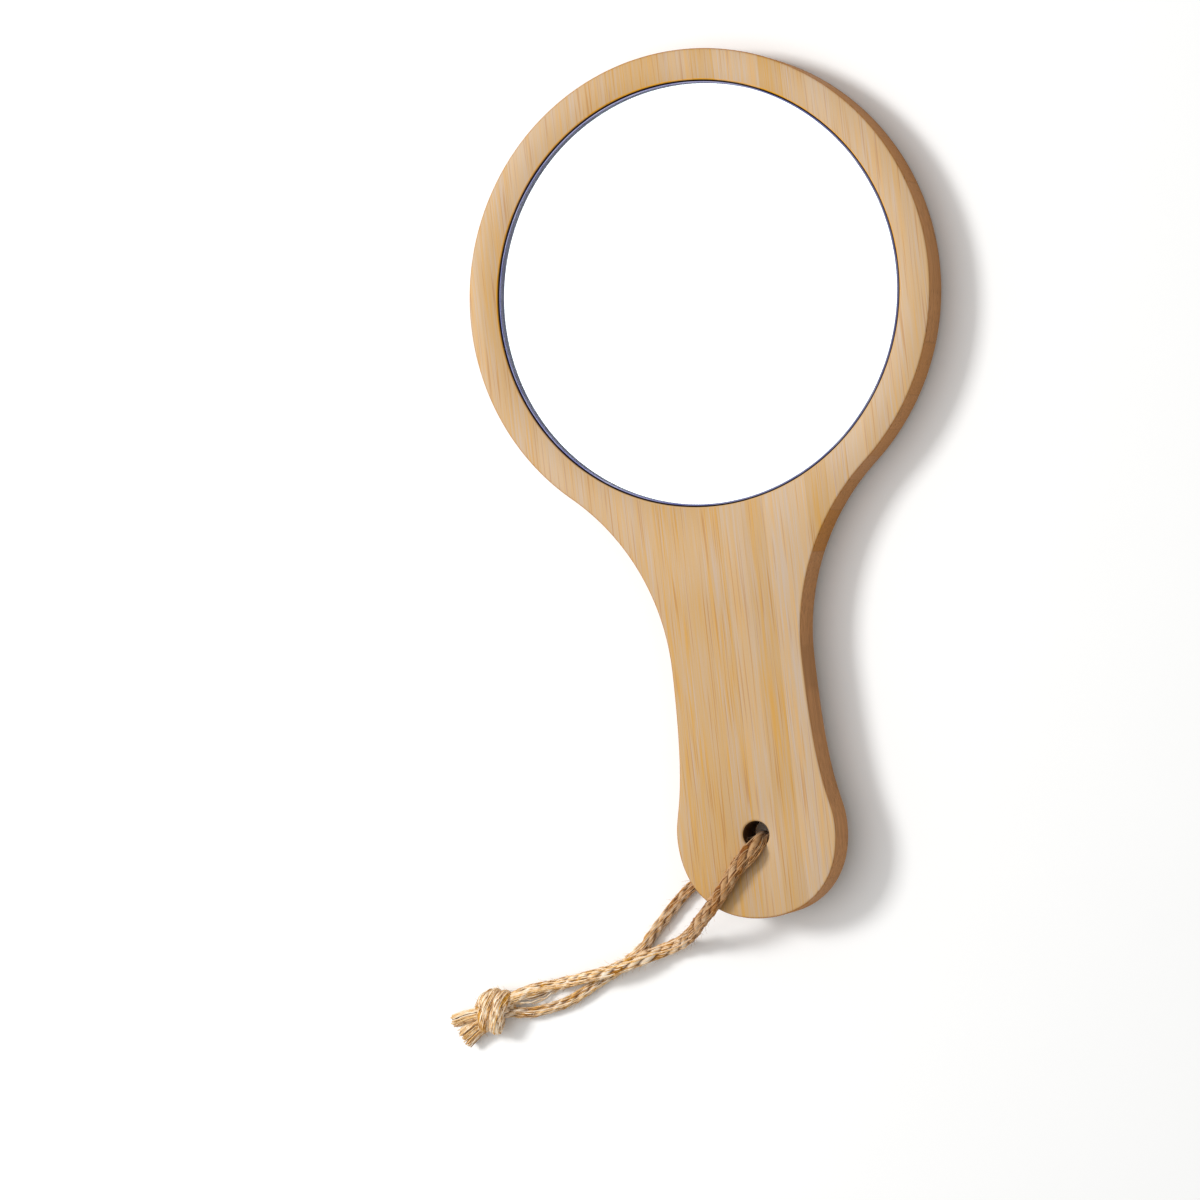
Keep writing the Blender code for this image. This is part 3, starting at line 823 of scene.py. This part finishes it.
def jute(name, loose=False, shade_in_grooves=0.72):
    """Jute, spun and plied: dry matt fibres from straw to orange brown, darkened in the grooves by
    painted shade.

    Loose fibres have no grooves. Near the hole the twine is darker and browner: painted shade.
    """
    made, add, shader = new_material(name)
    twine = bpy.context.scene.mirror_twine
    place = add("ShaderNodeTexCoord").node.outputs["Object"]
    noise = add("ShaderNodeTexNoise", {
        "Vector": place, "Scale": 700.0, "Detail": 2.0, "Roughness": 0.6
    })
    own = add("ShaderNodeAttribute", attribute_name="ply").node.outputs["Fac"]
    chance = add("ShaderNodeTexWhiteNoise", {"W": own}, noise_dimensions="1D")
    level = add(MATH, (noise, 0.8, chance), "MULTIPLY_ADD")
    level = add(MATH, (level, 0.4), "SUBTRACT")
    ramp = add("ShaderNodeValToRGB", {"Fac": level})
    stops = ramp.node.color_ramp.elements
    stops[0].position, stops[1].position = 0.04, 0.95
    stops[0].color, stops[1].color = rgba(twine.brown), rgba(twine.pale)
    stops.new(0.24).color = rgba(twine.orange)
    stops.new(0.52).color = rgba(twine.tan)
    apart = add("ShaderNodeSeparateColor", {"Color": chance.node.outputs["Color"]})
    grey = add(MAP_RANGE, {"Value": apart.node.outputs["Green"], "To Min": 0.88, "To Max": 1.28})
    # The plies under the loose fibres are in their shade.
    under = add(MAP_RANGE, {
        "Value": own, "From Min": 4.0, "From Max": 9.0, "To Min": 0.88 if loose else 0.92,
        "To Max": 0.88 if loose else 1.06
    })
    toned = add("ShaderNodeHueSaturation", {"Saturation": grey, "Value": under, "Color": ramp})
    if not loose:
        # Painted shade: jute low in the grooves is mixed towards the dark groove colour.
        facing = add("ShaderNodeAttribute", attribute_name="open").node.outputs["Fac"]
        groove_shade = add(MAP_RANGE, {
            "Value": facing, "From Min": 0.60, "From Max": 0.84, "To Min": shade_in_grooves,
            "To Max": 0.0
        })
        toned = add("ShaderNodeMix", {0: groove_shade, 6: toned, 7: rgba(twine.deep)}, data_type="RGBA")
    # Painted shade by the hole: the jute is multiplied by the darker tint there.
    hole_shade = add("ShaderNodeAttribute", attribute_name="hole_shade").node.outputs["Fac"]
    toned = add("ShaderNodeMix", {
        0: hole_shade, 6: toned, 7: rgba(twine.hole_shading)
    }, data_type="RGBA", blend_type="MULTIPLY")
    bump = add("ShaderNodeBump", {"Strength": 0.5, "Distance": 0.05 * MM, "Height": noise})
    feed(shader, {
        "Base Color": toned, "Normal": bump, "Roughness": 0.85, "Specular IOR Level": 0.25,
        "Sheen Weight": 0.15, "Sheen Roughness": 0.5
    })
    return made


def matt_floor():
    """Pale matt emulsion on a smooth board, with barely visible mottling."""
    made, add, shader = new_material("floor_matt_emulsion")
    floor = Vector(bpy.context.scene.mirror_stage.floor)
    at = add("ShaderNodeTexCoord").node.outputs["Object"]
    mottle = add("ShaderNodeTexNoise", {"Vector": at, "Scale": 40.0, "Detail": 3.0})
    ramp = add("ShaderNodeValToRGB", {"Fac": mottle})
    ramp.node.color_ramp.elements[0].color = rgba(floor * 0.99)
    ramp.node.color_ramp.elements[1].color = rgba(floor)
    feed(shader, {"Base Color": ramp, "Roughness": 0.95, "Specular IOR Level": 0.1})
    return made


# ---------------------------------------------------------------- routes


def smooth_path(route, step):
    """Points at equal steps along a smooth curve through the route's points."""
    knots = [np.array(p) for p in route]
    knots = [2 * knots[0] - knots[1], *knots, 2 * knots[-1] - knots[-2]]
    points = []
    for a, b, c, d in zip(knots, knots[1:], knots[2:], knots[3:]):
        for k in range(SPLINE_STEPS):
            t = k / SPLINE_STEPS
            points.append(
                0.5 * (
                    2 * b + (c - a) * t + (
                        2 * a - 5 * b + 4 * c - d
                    ) * t * t + (3 * b - a - 3 * c + d) * t**3
                )
            )
    points = np.array([*points, knots[-2]])
    run = np.concatenate([[0], np.cumsum(np.linalg.norm(np.diff(points, axis=0), axis=1))])
    stations = np.linspace(0, run[-1], max(2, round(run[-1] / step)) + 1)
    return np.stack([np.interp(stations, run, points[:, k]) for k in range(3)], axis=1)


def route_object(name, paths, spreads=None, hole_shade=0.0):
    """A mesh of bare edges along each path, with how far along each point is and its spread.

    The last argument is the length at the start of each path over which painted shade darkens the
    twine.
    """
    points = [Vector(p) for path in paths for p in path]
    edges, along, spread, first = [], [], [], 0
    for number, path in enumerate(paths):
        count = len(path)
        edges += [(first + k, first + k + 1) for k in range(count - 1)]
        steps = np.linalg.norm(np.diff(path, axis=0) * (1, 1, CLIMB_SHARE), axis=1)
        along += list(np.concatenate([[0], np.cumsum(steps)]))
        given = None if spreads is None else spreads[number]
        spread += [1.0] * count if given is None else list(given)
        first += count
    mesh = bpy.data.meshes.new(name)
    mesh.from_pydata(points, edges, [])
    mesh.attributes.new("along", "FLOAT", "POINT").data.foreach_set("value", along)
    mesh.attributes.new("spread", "FLOAT", "POINT").data.foreach_set("value", spread)
    # Painted shade, strongest near the start of the path and gone after the given length.
    if hole_shade:
        hole_shading = np.clip(HOLE_SHADE_GAIN * (1 - np.array(along) / hole_shade), 0, 1)
        mesh.attributes.new("hole_shade", "FLOAT", "POINT").data.foreach_set("value", hole_shading)
    return link_object(name, mesh)


def knot_point(u, v, w):
    """A point given along the loop, across it and up from the knot's centre, in mm."""
    turned = Matrix.Rotation(KNOT_TURN, 3, "Z") @ Vector((u * MM, v * MM, w * MM))
    return tuple(Vector(KNOT_CENTRE) + turned)


def finish_twine(piece, *nodes):
    """Rests a piece of the loop on the floor, parents it to the twine loop's body and hides the
    model parts that it stands in for.
    """
    rest_on_floor(piece)
    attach(piece, "twine_loop")
    if nodes:
        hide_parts(*nodes)


def rest_on_floor(obj, height=0.00003):
    """Presses whatever would go through the floor flat onto it."""
    mesh = obj.data
    places = np.empty(len(mesh.vertices) * 3, np.float32)
    mesh.vertices.foreach_get("co", places)
    places = places.reshape(-1, 3)
    places[:, 2] = np.maximum(places[:, 2], height)
    mesh.vertices.foreach_set("co", places.ravel())
    mesh.update()


# ---------------------------------------------------------------- stage


class MIRROR_OT_stage(bpy.types.Operator):
    """Adds the camera, the pale floor and the soft light"""

    bl_idname = "mirror.stage"
    bl_label = "Camera, Floor and Light"

    def execute(self, context):
        settings = context.scene.mirror_stage
        data = bpy.data.cameras.new("main_camera")
        data.lens = CAMERA_LENS
        data.sensor_width = SENSOR_WIDTH
        data.clip_start, data.clip_end = 0.01, 100.0
        camera = bpy.data.objects.new("main_camera", data)
        camera.location = CAMERA_PLACE
        camera.rotation_euler = [math.radians(a) for a in CAMERA_TURN]
        context.scene.collection.objects.link(camera)
        context.scene.camera = camera

        made = bmesh.new()
        bmesh.ops.create_grid(made, x_segments=2, y_segments=2, size=4.0)
        floor = mesh_from(made, "floor", Matrix.Translation((0, 0, -0.00005)))
        floor.data.materials.append(matt_floor())

        world = bpy.data.worlds.new("room")
        context.scene.world = world
        world.use_nodes = True
        background = world.node_tree.nodes["Background"]
        background.inputs["Color"].default_value = (1, 1, 1, 1)
        background.inputs["Strength"].default_value = settings.sky
        for name, place, size, power in (
            ("softbox", (-0.34, 0.10, 1.0), 0.9, settings.softbox),
            ("key", (-0.60, 0.26, 0.78), 0.24, settings.key),
        ):
            light = bpy.data.lights.new(name, "AREA")
            light.shape = "SQUARE"
            light.size = size
            light.energy = power
            lamp = bpy.data.objects.new(name, light)
            lamp.location = place
            aim = Vector((0, -0.04, 0)) - Vector(place)
            lamp.rotation_euler = aim.to_track_quat("-Z", "Y").to_euler()
            context.scene.collection.objects.link(lamp)
        context.scene.view_settings.view_transform = "Standard"
        return {"FINISHED"}


# ---------------------------------------------------------------- twine


def ply_sizes():
    """Radius of a ply, and of the circle that the plies' centres run on."""
    twine = bpy.context.scene.mirror_twine
    across = 1 + 1 / math.sin(math.pi / twine.plies)
    ply = twine.diameter / 2 / across
    return ply * 1.12, twine.diameter / 2 - ply * 1.06


def twine_values(material, sides=18):
    twine = bpy.context.scene.mirror_twine
    ply, lay = ply_sizes()
    return {
        "Plies": twine.plies, "Ply Radius": ply, "Lay Radius": lay, "Lay Length": twine.lay,
        "Fibre Relief": twine.relief, "Ply Sides": sides, "Fibres": twine.fibres,
        "Fibre Radius": 0.0001, "Material": material
    }


class MIRROR_OT_strands(bpy.types.Operator):
    """Twists the two strands of the hanging loop from their plies"""

    bl_idname = "mirror.strands"
    bl_label = "Twine Strands"

    def execute(self, context):
        tree = twine_tree()
        fibre = jute("jute_spun_plied")
        for name, route, node in (
            ("front_strand", FRONT_ROUTE, "twine_front_strand"),
            ("back_strand", BACK_ROUTE, "twine_back_strand"),
        ):
            path = smooth_path([*route, STRAND_ENDS[name]], ROUTE_STEP)
            fullness = STRAND_FULLNESS[name]
            share = np.linspace(0, len(fullness) - 1, len(path))
            spread = np.interp(share, range(len(fullness)), fullness)
            holder = route_object(name + "_route", [path], [spread], hole_shade=HOLE_SHADE_LENGTH)
            strand = run_tree(tree, holder, name, twine_values(fibre))
            drop(holder)
            finish_twine(strand, node)
        return {"FINISHED"}


class MIRROR_OT_knot(bpy.types.Operator):
    """Ties the overhand knot and lays its two frayed ends"""

    bl_idname = "mirror.knot"
    bl_label = "Knot and Frayed Ends"

    def execute(self, context):
        wraps = [knot_point(3.4, 1.0, -1.2)]
        for k in range(KNOT_STEPS + 1):
            turn = math.pi * (2 * KNOT_TURNS * k / KNOT_STEPS - KNOT_START)
            u = KNOT_HALF_LENGTH - 2 * KNOT_HALF_LENGTH * k / KNOT_STEPS
            wraps.append(
                knot_point(u, KNOT_HALF_WIDTH * math.cos(turn), KNOT_HALF_HEIGHT * math.sin(turn))
            )
        wraps.append(knot_point(-3.0, 0.0, 0.6))
        through = [knot_point(3.4, 1.8, -0.4), knot_point(0, 0.6, 0), knot_point(-3.4, -1.4, -0.8)]
        paths = [smooth_path(r, ROUTE_STEP) for r in (wraps, through)]
        spreads = [np.full(len(p), KNOT_FULLNESS) for p in paths]
        holder = route_object("knot_route", paths, spreads)
        knot = run_tree(
            twine_tree(), holder, "knot", twine_values(jute("jute_knotted", shade_in_grooves=0.5))
        )
        drop(holder)
        finish_twine(knot, "twine_knot")
        pieces = [knot]
        bundle = bundle_tree()
        cut = jute("jute_cut_ends", loose=True)
        for name, route, half, fibres, widths, flat, seed, node in (
            ("tail_left", [knot_point(*p) for p in
             ((0, -0.4, 0.4), (-3.4, -1.2, 0.2), (-7.2, -2.8, -0.9), (-11.1, -4.8, -1.6))],
             0.0017, 120, (0.9, 1.0), 0.75, 3, ["twine_tail_left"]),
            ("tail_right", [knot_point(*p) for p in
             ((0, -1.6, 0), (-2.4, -3.6, -0.2), (-4.8, -5.8, -1.2), (-7.6, -8.7, -1.8))],
             0.0023, 150, (0.8, 1.2), 0.6, 5, ["twine_tail_right"]),
            ("fray_at_knot", [(-0.0590, -0.1167, 0.0022), (-0.0622, -0.1183, 0.0014),
             (-0.0645, -0.1194, 0.0016), (-0.0670, -0.1198, 0.0026), (-0.0735, -0.1197, 0.0040)],
             0.0013, 9, (0.1, 1.0, 1.0, 0.7), 0.5, 8, []),
            ("fray_at_hole", [(0.0012, -0.0850, 0.0108), (0.0012, -0.0868, 0.0140),
             (-0.0006, -0.0893, 0.0160), (-0.0044, -0.0926, 0.0162)],
             0.0010, 34, (1.0, 1.0, 0.4), 0.8, 9, []),
        ):
            path = smooth_path(route, ROUTE_STEP)
            share = np.linspace(0, 1, len(path))
            spreads = np.interp(share, np.linspace(0, 1, len(widths)), widths)
            holder = route_object(
                name + "_route", [path], [spreads],
                hole_shade=HOLE_SHADE_LENGTH if name == "fray_at_hole" else 0.0
            )
            tail = run_tree(bundle, holder, name, {
                "Fibres": fibres, "Half Width": half, "Flatness": flat, "Fibre Radius": 0.00013,
                "Waviness": 0.00016 if node else 0.00034, "Ragged": 0.12 if node else 0.02,
                "Seed": seed, "Material": cut
            })
            drop(holder)
            finish_twine(tail, *node)
            pieces.append(tail)

        hairs = hair_tree()
        fuzz = jute("jute_stray_fibres", loose=True)
        for source, density, long, seed in (
            ("front_strand", 160000.0, 0.0024, 1),
            ("back_strand", 160000.0, 0.0024, 2),
            ("knot", 200000.0, 0.0022, 3),
        ):
            piece = run_tree(hairs, bpy.data.objects[source], source + "_fuzz", {
                "Density": density, "Length": long, "Fibre Radius": 0.000028, "Seed": seed,
                "Material": fuzz
            })
            finish_twine(piece)
        for name, route, long, extra in (
            ("front_strand", FRONT_ROUTE, FRONT_LENGTH,
             [*pieces[:3], bpy.data.objects["knot_fuzz"], *pieces[3:]]),
            ("back_strand", BACK_ROUTE, BACK_LENGTH, [knot]),
        ):
            smooth_path([*route, STRAND_ENDS[name]], ROUTE_STEP)
        return {"FINISHED"}


# ---------------------------------------------------------------- board


def arc(centre, radius, start, end):
    steps = max(2, round(abs(end - start) / ARC_STEP))
    turns = [start + (end - start) * k / steps for k in range(steps + 1)]
    return [(centre[0] + radius * math.cos(a), centre[1] + radius * math.sin(a)) for a in turns]


def bezier(a, b, c, d):
    points = []
    for k in range(CURVE_STEPS + 1):
        t = k / CURVE_STEPS
        weights = ((1 - t) ** 3, 3 * (1 - t) ** 2 * t, 3 * (1 - t) * t * t, t**3)
        points.append(tuple(sum(w * p[i] for w, p in zip(weights, (a, b, c, d))) for i in (0, 1)))
    return points


def half_outline(board):
    """The right half of the paddle, from the top of the head to the middle of the handle's end."""
    neck_width, head = board.neck_half_width, board.head_radius
    reach = neck_width**2 + NECK_DROP**2 - head**2
    fillet = reach / (2 * (head - neck_width))
    fillet_x = neck_width + fillet
    touch = math.atan2(-NECK_DROP, fillet_x)
    widest = board.handle_drop - WIDEST_ABOVE_END
    flare = widest - NECK_DROP
    neck = (neck_width, -NECK_DROP)
    side = (board.handle_half_width, -widest)
    end = (0.0, -board.handle_drop)
    points = arc((0, 0), head, math.pi / 2, touch)
    points += arc((fillet_x, -NECK_DROP), fillet, touch + math.pi, math.pi)[1:]
    points += bezier(
        neck, (neck[0], neck[1] - NECK_FLARE * flare), (side[0], side[1] + WIDEST_FLARE * flare),
        side
    )[1:]
    points += bezier(
        side, (side[0], side[1] - END_SHOULDER * WIDEST_ABOVE_END),
        (END_FLATNESS * board.handle_half_width, end[1]), end
    )[1:]
    return points


def outline(board):
    """The whole outline, anticlockwise."""
    right = half_outline(board)
    left = [(-x, y) for x, y in reversed(right[1:-1])]
    return np.array(right + left)[::-1]


def inset(points, by):
    """A closed anticlockwise outline moved inwards."""
    along = np.roll(points, -1, axis=0) - np.roll(points, 1, axis=0)
    along /= np.linalg.norm(along, axis=1)[:, None]
    return points + by * np.stack([-along[:, 1], along[:, 0]], axis=1)


def circle(centre, radius, sides):
    turns = np.linspace(0, 2 * math.pi, sides, endpoint=False)
    return np.stack([centre[0] + radius * np.cos(turns), centre[1] + radius * np.sin(turns)], 1)


def ring_of(made, points, height):
    return [made.verts.new((x, y, height)) for x, y in points]


def join_rings(made, upper, lower, material, outward=True):
    """A band of faces between two rings, with outward-pointing faces on an outer wall."""
    count = len(upper)
    for k in range(count):
        n = (k + 1) % count
        corners = [upper[k], lower[k], lower[n], upper[n]]
        face = made.faces.new(corners if outward else corners[::-1])
        face.material_index = material
        face.smooth = True


def ring_edges(made, ring):
    return [made.edges.get((a, b)) for a, b in zip(ring, ring[1:] + ring[:1])]


def fill_flat(made, rings, material, up):
    """Fills the flat area between an outline and the holes in it."""
    edges = [e for ring in rings for e in ring_edges(made, ring)]
    filled = bmesh.ops.triangle_fill(
        made, edges=edges, use_beauty=True, use_dissolve=False, normal=(0, 0, 1 if up else -1)
    )
    for face in (g for g in filled["geom"] if isinstance(g, bmesh.types.BMFace)):
        if (face.normal.z > 0) != up:
            face.normal_flip()
        face.material_index = material
        face.smooth = False


# CUT faces, in the recess and the hole, take the dark painted shade of the deep cuts.
FACE, EDGE, CUT, LIP = 0, 1, 2, 3


class MIRROR_OT_board(bpy.types.Operator):
    """Makes the bamboo paddle with its eased edges, recess and hanging hole"""

    bl_idname = "mirror.board"
    bl_label = "Bamboo Board"

    def execute(self, context):
        board = context.scene.mirror_board
        deep, ease = board.thickness, board.edge_round
        shape = outline(board)
        made = bmesh.new()
        turns = [math.pi / 2 * k / EASE_STEPS for k in range(EASE_STEPS + 1)]
        steps = [(ease * (1 - math.sin(a)), -ease * (1 - math.cos(a))) for a in turns]
        steps += [(i, -deep - h) for i, h in reversed(steps)]
        rings = [ring_of(made, inset(shape, i), h) for i, h in steps]
        for number, (upper, lower) in enumerate(zip(rings, rings[1:])):
            last = len(rings) - 2
            soft = number < 2 or number > last - 2
            join_rings(made, upper, lower, FACE if soft else EDGE)

        recess = board.head_radius - board.rim_width
        # The recess's eased lip takes the painted highlight material.
        recess_steps = [
            (recess + LIP_WIDTH, 0), (recess + LIP_WIDTH * 0.3, -LIP_WIDTH * 0.3),
            (recess, -LIP_WIDTH), (recess, -RECESS_DEPTH)
        ]
        bowl = [ring_of(made, circle((0, 0), r, ROUND_SIDES), h) for r, h in recess_steps]
        for number, (upper, lower) in enumerate(zip(bowl, bowl[1:])):
            join_rings(made, upper, lower, LIP if number < 2 else CUT, outward=False)

        rim, bore = board.hole_round, board.hole_radius
        middle = (0, -(board.handle_drop - board.hole_above_end))
        hole_steps = [(bore + rim * (1 - math.sin(a)), -rim * (1 - math.cos(a))) for a in turns]
        hole_steps += [(r, -deep - h) for r, h in reversed(hole_steps)]
        hole = [ring_of(made, circle(middle, r, HOLE_SIDES), h) for r, h in hole_steps]
        for number, (upper, lower) in enumerate(zip(hole, hole[1:])):
            last = len(hole) - 2
            soft = number < 3 or number > last - 3
            join_rings(made, upper, lower, FACE if soft else CUT, outward=False)

        fill_flat(made, [rings[0], bowl[0], hole[0]], FACE, True)
        fill_flat(made, [rings[-1], hole[-1]], FACE, False)
        fill_flat(made, [bowl[-1]], CUT, True)
        piece = mesh_from(made, "bamboo_board", board_place())
        for material in (bamboo_planed(), bamboo_routed(), bamboo_shaded_cut(), bamboo_lip()):
            piece.data.materials.append(material)
        piece.data.set_sharp_from_angle(angle=math.radians(50))
        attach(piece, "paddle")
        strips = sorted(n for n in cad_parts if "strip" in n)
        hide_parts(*strips)
        return {"FINISHED"}


# ---------------------------------------------------------------- glass


class MIRROR_OT_glass(bpy.types.Operator):
    """Makes the glass, its silver with the paint behind it, and finishes the tapes"""

    bl_idname = "mirror.glass"
    bl_label = "Glass and Silver"

    def execute(self, context):
        settings = context.scene.mirror_glass
        place = board_place()
        holder = link_object("plate_seed", bpy.data.meshes.new("plate_seed"))
        tree = plate_tree()
        silver, paint = silver_coat(), backing_paint()
        bottom = GLASS_SETBACK + settings.thickness + SILVER_GAP
        for name, node, radius, deep, arris, middle, materials, slot in (
            ("glass_plate", "mirror_glass", settings.radius, settings.thickness, settings.arris,
             GLASS_SETBACK + settings.thickness / 2, (float_glass(), seamed_edge()), "glass"),
            ("silver_layer", "silver_backing", settings.radius - settings.arris, SILVER_DEPTH,
             SILVER_ARRIS, bottom + SILVER_DEPTH / 2, (silver, paint), "silver"),
        ):
            plate = run_tree(tree, holder, name, {
                "Radius": radius, "Thickness": deep, "Arris": arris, "Sides": ROUND_SIDES,
                "Material": materials[0], "Edge Material": materials[1]
            })
            mesh = plate.data
            for face in mesh.polygons:
                face.use_smooth = abs(face.normal.z) < 0.5
                if name == "silver_layer" and face.normal.z < -0.5:
                    face.material_index = 1 - mesh.polygons[0].material_index
            mesh.transform(place @ Matrix.Translation((0, 0, -middle)))
            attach(plate, "paddle")
            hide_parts(node)
        drop(holder)
        foam = foam_tape()
        for name in ("tape_left", "tape_middle", "tape_right"):
            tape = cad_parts[name]
            tape.data.materials.clear()
            tape.data.materials.append(foam)
        return {"FINISHED"}


# ---------------------------------------------------------------- add-on


class MIRROR_PT_panel(bpy.types.Panel):
    """Lists the mirror's pieces with their sizes and colours"""

    bl_idname = "MIRROR_PT_panel"
    bl_label = "Hand Mirror"
    bl_space_type = "VIEW_3D"
    bl_region_type = "UI"
    bl_category = "Hand Mirror"

    def draw(self, context):
        for operator, group in OPERATORS:
            box = self.layout.box()
            box.operator(operator.bl_idname)
            settings = getattr(context.scene, group)
            for name in settings.__annotations__:
                box.prop(settings, name)


GROUPS = {
    "mirror_board": BoardSettings,
    "mirror_glass": GlassSettings,
    "mirror_twine": TwineSettings,
    "mirror_stage": StageSettings,
}
OPERATORS = [
    (MIRROR_OT_stage, "mirror_stage"),
    (MIRROR_OT_strands, "mirror_twine"),
    (MIRROR_OT_knot, "mirror_twine"),
    (MIRROR_OT_board, "mirror_board"),
    (MIRROR_OT_glass, "mirror_glass"),
]
CLASSES = (*GROUPS.values(), *(o for o, _ in OPERATORS), MIRROR_PT_panel)


def register():
    for made in CLASSES:
        bpy.utils.register_class(made)
    for name, group in GROUPS.items():
        setattr(bpy.types.Scene, name, PointerProperty(type=group))


def unregister():
    for name in GROUPS:
        delattr(bpy.types.Scene, name)
    for made in reversed(CLASSES):
        bpy.utils.unregister_class(made)


def main():
    register()
    bpy.ops.mirror.stage()
    bpy.ops.mirror.strands()
    bpy.ops.mirror.knot()
    bpy.ops.mirror.board()
    bpy.ops.mirror.glass()


if __name__ == "__main__":
    main()
